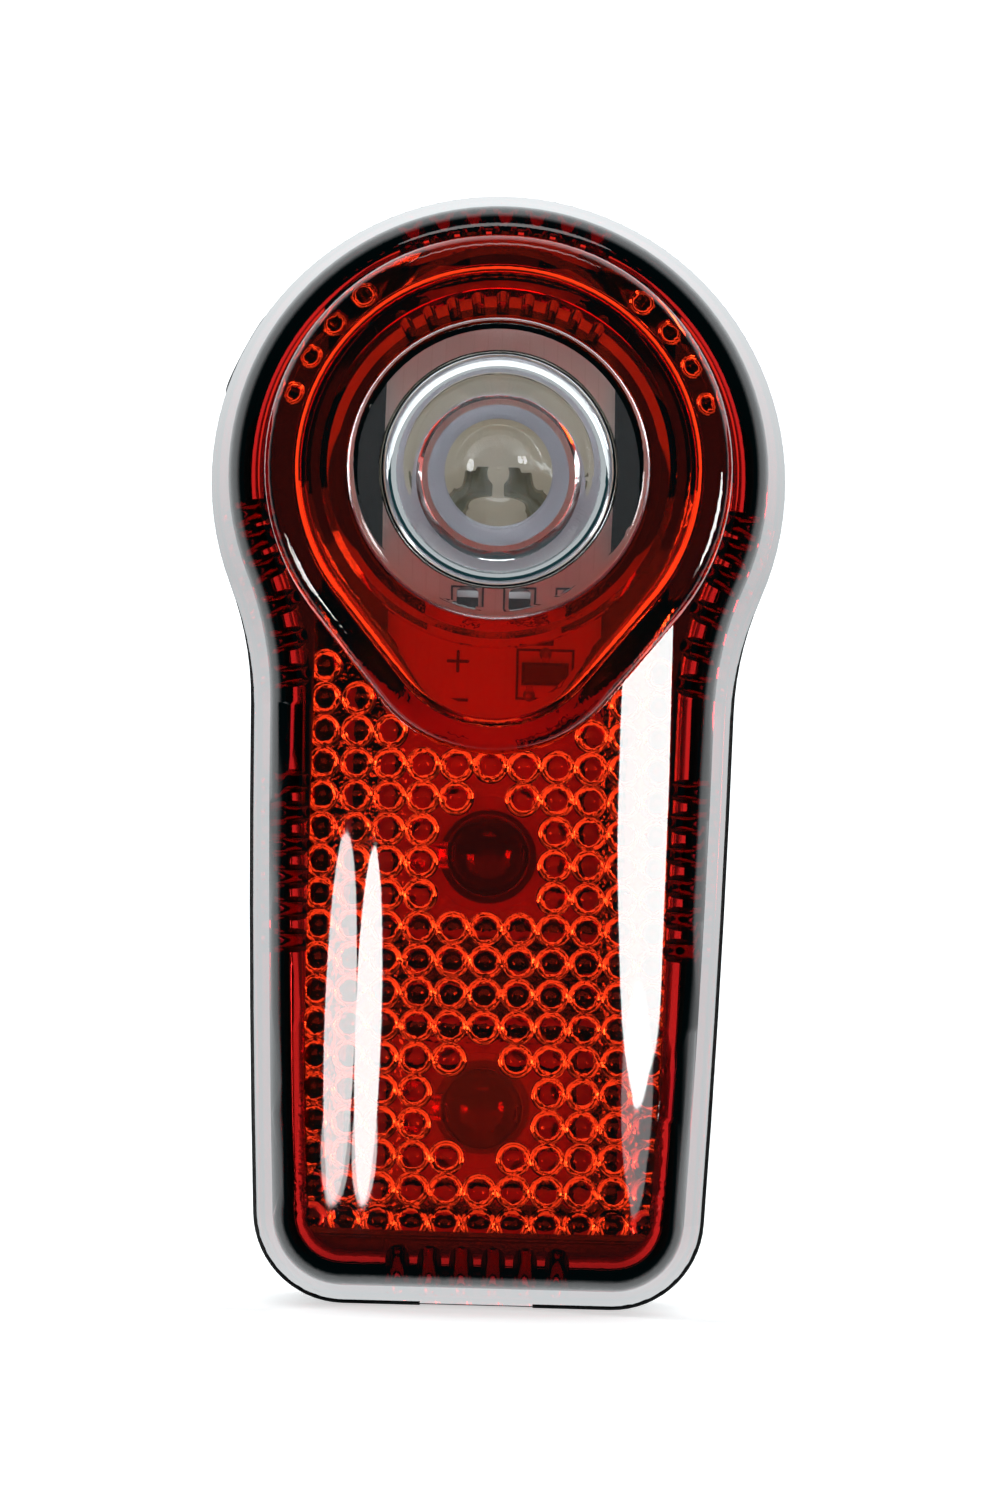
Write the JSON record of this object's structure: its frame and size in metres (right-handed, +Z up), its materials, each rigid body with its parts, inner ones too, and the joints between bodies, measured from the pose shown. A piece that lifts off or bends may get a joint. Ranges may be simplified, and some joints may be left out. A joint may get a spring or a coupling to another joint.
{
  "type": "bicycle rear light",
  "caption": "Battery rear light for a bicycle: red moulded lens with a clear spot optic over signal lights, black housing with rubber button and a spring clip on its back.",
  "frame": {"origin": "centre of the bounding box in plan, at the height of the housing's flat foot", "axes": "+Z up from the foot to the round head, the lens faces -Y, the clip is on +Y, +X is to the right for someone who looks at the lens"},
  "size_m": [0.0358, 0.0332, 0.0692],
  "materials": {
    "red_polycarbonate": "gloss, clear red",
    "clear_polycarbonate": "gloss, clear",
    "led_epoxy": "gloss, clear red",
    "led_package": "satin, pale beige with a clear dome",
    "board_laminate": "satin, pale laminate",
    "component_plastic": "matt, moulded",
    "ceramic_chip": "satin, with tinned ends",
    "black_plastic": "fine moulded grain",
    "inner_black_plastic": "smooth, satin",
    "cell_sleeve": "plain printed sleeve on a steel can",
    "plated_steel": "nickel plated",
    "zinc_screw": "zinc plated",
    "seal_rubber": "matt",
    "button_rubber": "matt"
  },
  "bodies": {
    "housing": {"back_housing": "black_plastic", "seal_ring": "seal_rubber", "clip_foot": "black_plastic", "clip_screws": "zinc_screw"},
    "button": {"button_cap": "button_rubber"},
    "front_unit": {"red_lens": "red_polycarbonate", "clear_lens": "clear_polycarbonate", "main_led": "led_package", "lower_led": "led_epoxy", "upper_led": "led_epoxy", "circuit_board": "board_laminate", "transistor": "component_plastic", "chip_resistors": "ceramic_chip", "controller_chip": "component_plastic", "board_mask": "inner_black_plastic", "switch_body": "component_plastic", "battery_tray": "inner_black_plastic", "left_cell": "cell_sleeve", "right_cell": "cell_sleeve", "positive_contact": "plated_steel", "negative_contact": "plated_steel", "bridge_contact": "plated_steel", "bridge_spring": "plated_steel", "negative_spring": "plated_steel", "board_screws": "zinc_screw"},
    "plunger": {"switch_plunger": "component_plastic"},
    "clip": {"clip_tongue": "black_plastic"}
  },
  "joints": [
    {"name": "front_unit_slide", "type": "slide", "parent": "housing", "child": "front_unit", "axis": [0, -1, 0], "range_m": [0, 0.04]},
    {"name": "button_press", "type": "slide", "parent": "housing", "child": "button", "axis": [0.891, 0, -0.454], "range_m": [0, 0.0005], "stiffness_N_per_m": 800},
    {"name": "plunger_press", "type": "slide", "parent": "front_unit", "child": "plunger", "axis": [0.891, 0, -0.454], "range_m": [0, 0.0003]},
    {"name": "clip_flex", "type": "hinge", "parent": "housing", "child": "clip", "pos_m": [0, 0.01655, 0.05145], "axis": [1, 0, 0], "range_deg": [0, 8], "stiffness_Nm_per_rad": 0.6}
  ],
  "couplings": [
    {"joint": "plunger_press", "follows": "button_press", "ratio": 0.6}
  ]
}
